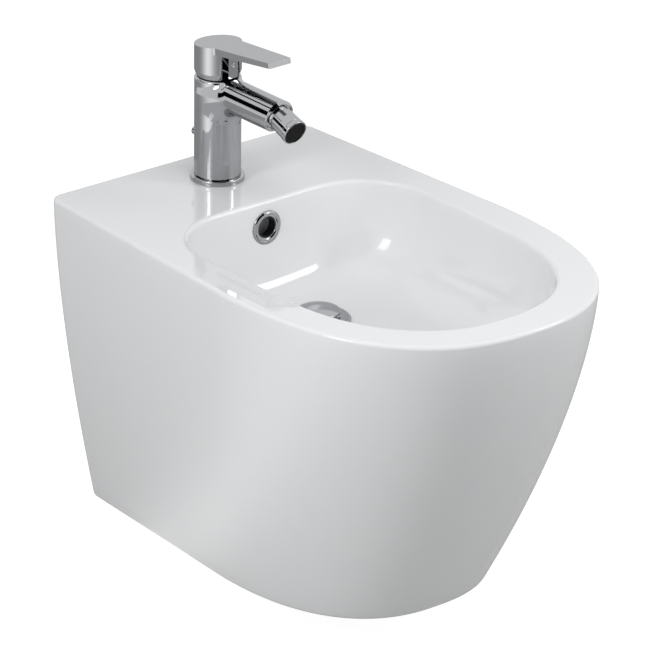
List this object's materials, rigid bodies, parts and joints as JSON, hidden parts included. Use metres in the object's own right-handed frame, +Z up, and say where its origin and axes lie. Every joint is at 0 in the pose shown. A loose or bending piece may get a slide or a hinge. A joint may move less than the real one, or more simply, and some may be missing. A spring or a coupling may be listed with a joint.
{
  "type": "bidet",
  "caption": "Wall-hung ceramic bidet with a single-lever mixer, a swivelling nozzle and a pop-up waste worked by a lift knob.",
  "frame": {"origin": "midpoint between the two wall studs, on the wall plane against which the body's back face stands", "axes": "+Y points out of the back face into the wall, +Z is up, and the bowl reaches along -Y; X = 0 is the plane of symmetry"},
  "size_m": [0.3598, 0.5868, 0.4968],
  "materials": {
    "glaze": "glossy white glaze",
    "chrome": "polished chrome plate",
    "steel": "zinc-bright steel",
    "brass": "turned brass",
    "rubber": "matt black rubber",
    "nylon": "moulded white plastic",
    "alumina": "lapped sealing disc",
    "black_plastic": "moulded black screen"
  },
  "bodies": {
    "root": {"ceramic_body": "glaze", "wall_studs": "steel", "stud_sleeves": "nylon", "stud_washers": "steel", "stud_nuts": "steel", "overflow_ring": "chrome", "waste_flange": "chrome", "flange_gasket": "rubber", "lower_waste_seal": "rubber", "waste_lock_nut": "brass", "waste_tee": "chrome", "tail_pipe": "chrome", "ball_seals": "rubber", "ball_nut": "chrome", "base_ring": "chrome", "base_gasket": "rubber", "mixer_body": "chrome", "fixing_stud": "steel", "clamp_pad": "rubber", "clamp_plate": "steel", "fixing_nut": "brass", "cartridge_base": "nylon", "cartridge_seals": "rubber", "fixed_disc": "alumina", "cartridge_housing": "nylon", "cartridge_nut": "brass", "nozzle_retaining_ring": "chrome"},
    "carrier": {"stem_carrier": "nylon"},
    "handle": {"lever": "chrome", "set_screw": "steel", "screw_cap": "chrome", "cartridge_stem": "brass", "pivot_pin": "steel"},
    "disc": {"moving_disc": "alumina"},
    "liner": {"nozzle_liner": "nylon"},
    "nozzle": {"nozzle_ball": "chrome", "nozzle_barrel": "chrome", "nozzle_seal": "rubber", "aerator_ring": "chrome", "aerator_screen": "black_plastic"},
    "lift": {"lift_rod": "chrome", "lift_knob": "chrome", "rod_clip": "brass", "clip_screw": "steel", "link_strap": "steel"},
    "pivot": {"pivot_ball": "nylon", "pivot_rod": "steel"},
    "plug": {"plug_cap": "chrome", "plug_stem": "brass", "plug_seal": "rubber"}
  },
  "joints": [
    {"name": "lever_turn", "type": "hinge", "parent": "root", "child": "carrier", "pos_m": [0, -0.063, 0.165], "axis": [0, 0, 1], "range_deg": [-45, 45]},
    {"name": "lever_lift", "type": "hinge", "parent": "carrier", "child": "handle", "pos_m": [0, -0.063, 0.165], "axis": [-1, 0, 0], "range_deg": [0, 25]},
    {"name": "disc_slide", "type": "slide", "parent": "carrier", "child": "disc", "axis": [0, -1, 0], "range_m": [0, 0.0027]},
    {"name": "nozzle_turn", "type": "hinge", "parent": "root", "child": "liner", "pos_m": [0, -0.15442, 0.17289], "axis": [0, -0.342, 0.9397], "range_deg": [-10, 10]},
    {"name": "nozzle_tilt", "type": "hinge", "parent": "liner", "child": "nozzle", "pos_m": [0, -0.15442, 0.17289], "axis": [1, 0, 0], "range_deg": [-10, 10]},
    {"name": "knob_lift", "type": "slide", "parent": "root", "child": "lift", "axis": [0, 0, 1], "range_m": [0, 0.024]},
    {"name": "rod_tip", "type": "hinge", "parent": "root", "child": "pivot", "pos_m": [0, -0.194, -0.102], "axis": [1, 0, 0], "range_deg": [0, 9.31]},
    {"name": "plug_drop", "type": "slide", "parent": "root", "child": "plug", "axis": [0, 0, -1], "range_m": [0, 0.00521]}
  ],
  "couplings": [
    {"joint": "disc_slide", "follows": "lever_lift", "m_per_rad": 0.00595},
    {"joint": "rod_tip", "follows": "knob_lift", "rad_per_m": 6.7323},
    {"joint": "plug_drop", "follows": "knob_lift", "ratio": 0.2152}
  ]
}
